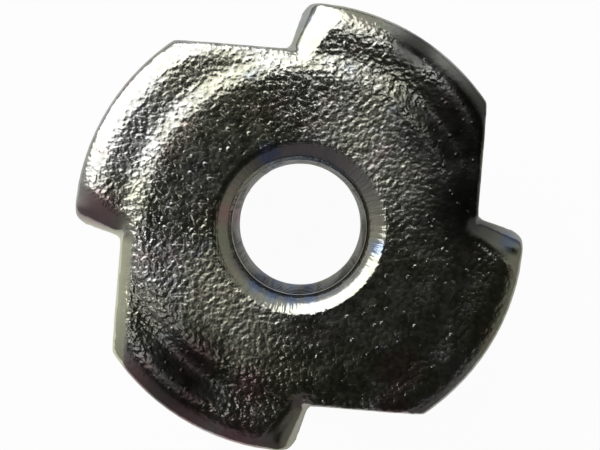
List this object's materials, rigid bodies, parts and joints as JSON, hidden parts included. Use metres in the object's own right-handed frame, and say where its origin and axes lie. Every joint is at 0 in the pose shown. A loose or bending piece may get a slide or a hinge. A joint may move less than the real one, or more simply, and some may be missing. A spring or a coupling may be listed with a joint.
{
  "type": "tee nut",
  "caption": "Pronged tee nut for wood: a round notched flange with turned-down prongs on a threaded barrel, in zinc-plated steel.",
  "frame": {"origin": "on the thread's axis, at the lower end of the barrel", "axes": "+Z along the thread's axis, from the barrel's end to the face of the flange; +X towards the first notch"},
  "size_m": [0.022, 0.022, 0.011],
  "materials": {
    "zinc_plate": "satin"
  },
  "bodies": {
    "root": {"tee_nut": "zinc_plate"}
  },
  "joints": []
}
